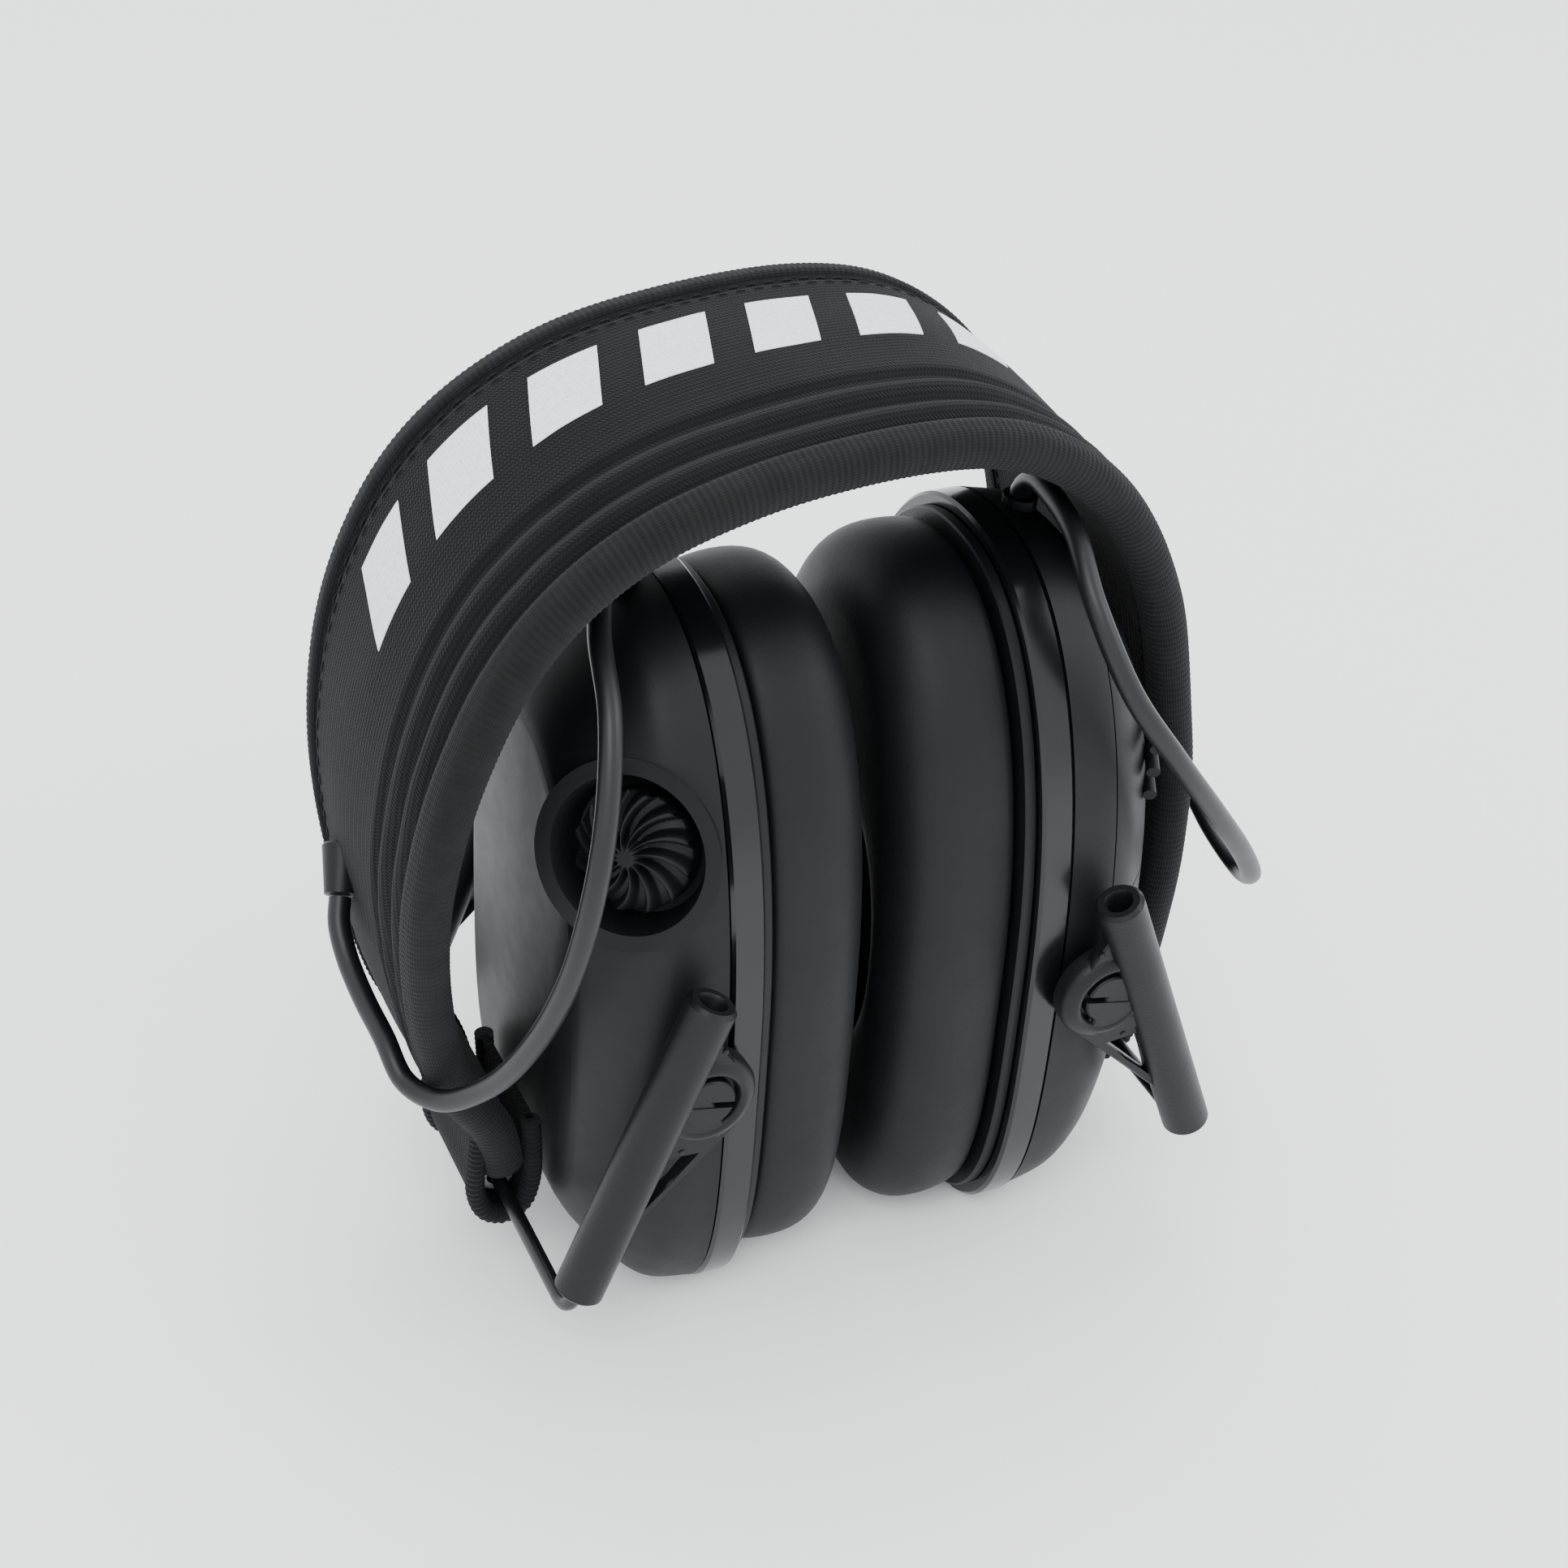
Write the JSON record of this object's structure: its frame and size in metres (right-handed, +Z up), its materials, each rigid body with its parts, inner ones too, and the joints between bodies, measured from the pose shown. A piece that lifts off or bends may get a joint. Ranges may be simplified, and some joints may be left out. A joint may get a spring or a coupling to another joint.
{
  "type": "folding earmuff hearing protector",
  "caption": "Folded over-ear hearing protector: padded fabric headband, wire yokes with sliding clips, two shallow swivelling cups with soft cushions, knob, battery door and looped cables.",
  "frame": {"origin": "centre of the folded object's box, on the surface that the cups' flat bottoms stand on", "axes": "+Z up through the crown of the headband, -Y towards the front, +X towards the cup with the battery door"},
  "size_m": [0.1554, 0.089, 0.1557],
  "materials": {
    "shell_plastic": "fine matte, soft-touch black",
    "ring_plastic": "glossy black",
    "cushion_skin": "smooth matte black artificial leather over foam",
    "knit_fabric": "black fine knit with a herringbone face",
    "ribbed_binding": "black cross-ribbed woven tape",
    "printed_mark": "white screen print",
    "nylon": "black moulded nylon, light satin",
    "coated_wire": "black coated spring wire",
    "spring_steel": "plain spring steel",
    "cable_jacket": "smooth satin black jacket",
    "foam": "open-cell grey-black foam",
    "speaker_body": "black moulded frame with a cloth face",
    "circuit_board": "green solder mask",
    "battery_wrap": "plain dark grey printed film, no words",
    "contact_brass": "plain brass",
    "capsule_metal": "satin"
  },
  "bodies": {
    "headband": {"headband_outer_pad": "knit_fabric", "headband_inner_pad": "knit_fabric", "headband_spring_strip": "spring_steel", "headband_front_binding": "ribbed_binding", "headband_rear_binding": "ribbed_binding", "hinge_knuckle_left": "spring_steel", "hinge_knuckle_right": "spring_steel", "cable_relief_left": "nylon", "cable_relief_right": "nylon"},
    "yoke_left": {"yoke_wire_left": "coated_wire"},
    "clips_left": {"clip_front_left": "nylon", "clip_rear_left": "nylon", "pivot_screw_front_left": "nylon", "pivot_screw_rear_left": "nylon"},
    "cup_left": {"pivot_bush_front_left": "nylon", "pivot_bush_rear_left": "nylon", "cup_shell_left": "shell_plastic", "cup_ring_left": "ring_plastic", "ear_plate_left": "nylon", "cushion_left": "cushion_skin", "foam_insert_left": "foam", "speaker_left": "speaker_body", "circuit_board_left": "circuit_board", "microphone_left": "capsule_metal", "cable_grommet_left": "nylon", "cable_left": "cable_jacket", "volume_control": "capsule_metal"},
    "yoke_right": {"yoke_wire_right": "coated_wire"},
    "clips_right": {"clip_front_right": "nylon", "clip_rear_right": "nylon", "pivot_screw_front_right": "nylon", "pivot_screw_rear_right": "nylon"},
    "cup_right": {"pivot_bush_front_right": "nylon", "pivot_bush_rear_right": "nylon", "cup_shell_right": "shell_plastic", "cup_ring_right": "ring_plastic", "ear_plate_right": "nylon", "cushion_right": "cushion_skin", "foam_insert_right": "foam", "speaker_right": "speaker_body", "circuit_board_right": "circuit_board", "microphone_right": "capsule_metal", "cable_grommet_right": "nylon", "cable_right": "cable_jacket", "battery_tray": "nylon", "battery_front": "battery_wrap", "battery_rear": "battery_wrap", "battery_contact_lower": "contact_brass", "battery_contact_upper": "contact_brass"},
    "knob": {"volume_knob": "shell_plastic"},
    "door": {"battery_door": "shell_plastic"}
  },
  "joints": [
    {"name": "fold_left", "type": "hinge", "parent": "headband", "child": "yoke_left", "pos_m": [-0.04881, 0, 0.02037], "axis": [0, 1, 0], "range_deg": [0, 120], "deforming": ["cushion_left", "cushion_right", "cable_left"]},
    {"name": "height_left", "type": "slide", "parent": "yoke_left", "child": "clips_left", "axis": [0.3665, 0, 0.9304], "range_m": [0, 0.01], "deforming": ["cushion_left", "cushion_right", "cable_left"]},
    {"name": "cup_swivel_left", "type": "hinge", "parent": "clips_left", "child": "cup_left", "pos_m": [-0.027, 0, 0.058], "axis": [0, 1, 0], "range_deg": [-120, 0], "deforming": ["cushion_left", "cushion_right", "cable_left"]},
    {"name": "fold_right", "type": "hinge", "parent": "headband", "child": "yoke_right", "pos_m": [0.06481, 0, 0.02037], "axis": [0, -1, 0], "range_deg": [0, 120], "deforming": ["cushion_left", "cushion_right", "cable_right"]},
    {"name": "height_right", "type": "slide", "parent": "yoke_right", "child": "clips_right", "axis": [-0.3665, 0, 0.9304], "range_m": [0, 0.01], "deforming": ["cushion_left", "cushion_right", "cable_right"]},
    {"name": "cup_swivel_right", "type": "hinge", "parent": "clips_right", "child": "cup_right", "pos_m": [0.043, 0, 0.058], "axis": [0, -1, 0], "range_deg": [-120, 0], "deforming": ["cushion_left", "cushion_right", "cable_right"]},
    {"name": "volume_turn", "type": "hinge", "parent": "cup_left", "child": "knob", "pos_m": [-0.0352, -0.0262, 0.096], "axis": [-0.6799, -0.6599, 0.3199], "range_deg": [-270, 0]},
    {"name": "battery_door_slide", "type": "slide", "parent": "cup_right", "child": "door", "axis": [0, 0, 1], "range_m": [0, 0.0045]}
  ],
  "couplings": [
    {"joint": "cup_swivel_left", "follows": "fold_left", "ratio": -1},
    {"joint": "cup_swivel_right", "follows": "fold_right", "ratio": -1}
  ]
}
